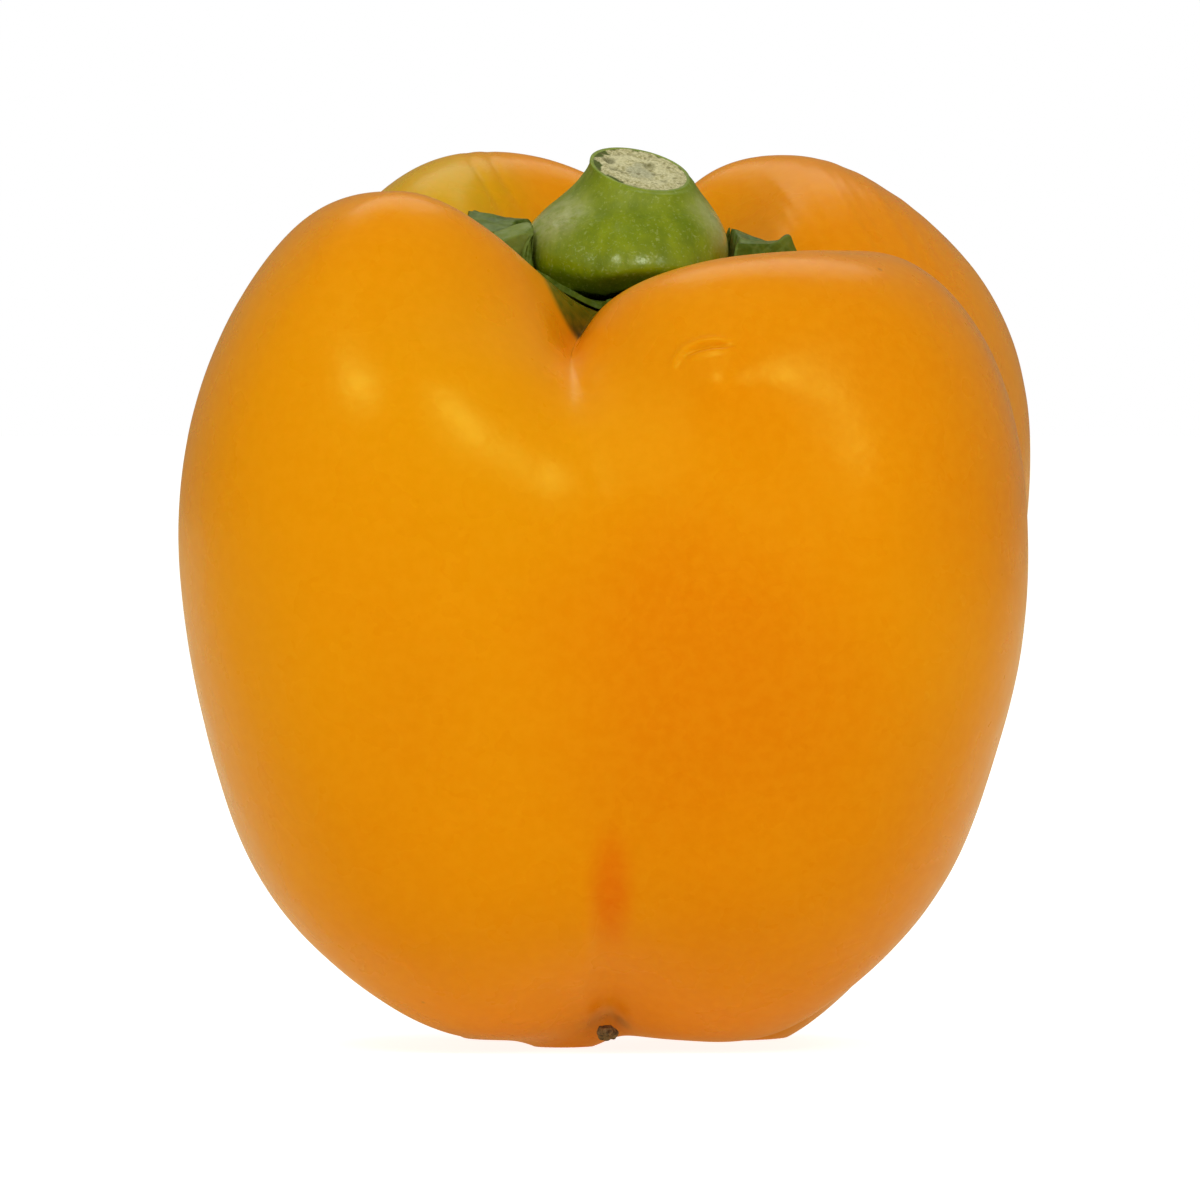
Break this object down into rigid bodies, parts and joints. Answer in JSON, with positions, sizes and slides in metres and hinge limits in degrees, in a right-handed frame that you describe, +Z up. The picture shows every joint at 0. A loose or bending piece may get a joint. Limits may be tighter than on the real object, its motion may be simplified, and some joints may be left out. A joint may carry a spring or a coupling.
{
  "type": "bell pepper",
  "caption": "Blocky, ribbed, yellow-orange bell pepper with a flared green stem cut off at a slant and a low green calyx set in the hollow between its shoulders.",
  "frame": {"origin": "centre of the bounding box's bottom face, on the surface the pepper stands on", "axes": "+Z up, from the blossom end to the stem; the pepper's front, with the low shoulders and the deepest furrow, faces -Y; +X is to the right of a viewer in front of it"},
  "size_m": [0.0852, 0.0809, 0.0896],
  "materials": {
    "fruit_skin": "waxy, smooth, yellow-orange skin",
    "calyx_green": "dull dark green leaf",
    "stem_green": "satin green stem with a fibrous, pale cut face",
    "dry_scar": "dry, corky, grey-brown"
  },
  "bodies": {
    "root": {"fruit_body": "fruit_skin", "calyx": "calyx_green", "stem": "stem_green", "blossom_scar": "dry_scar"}
  },
  "joints": []
}
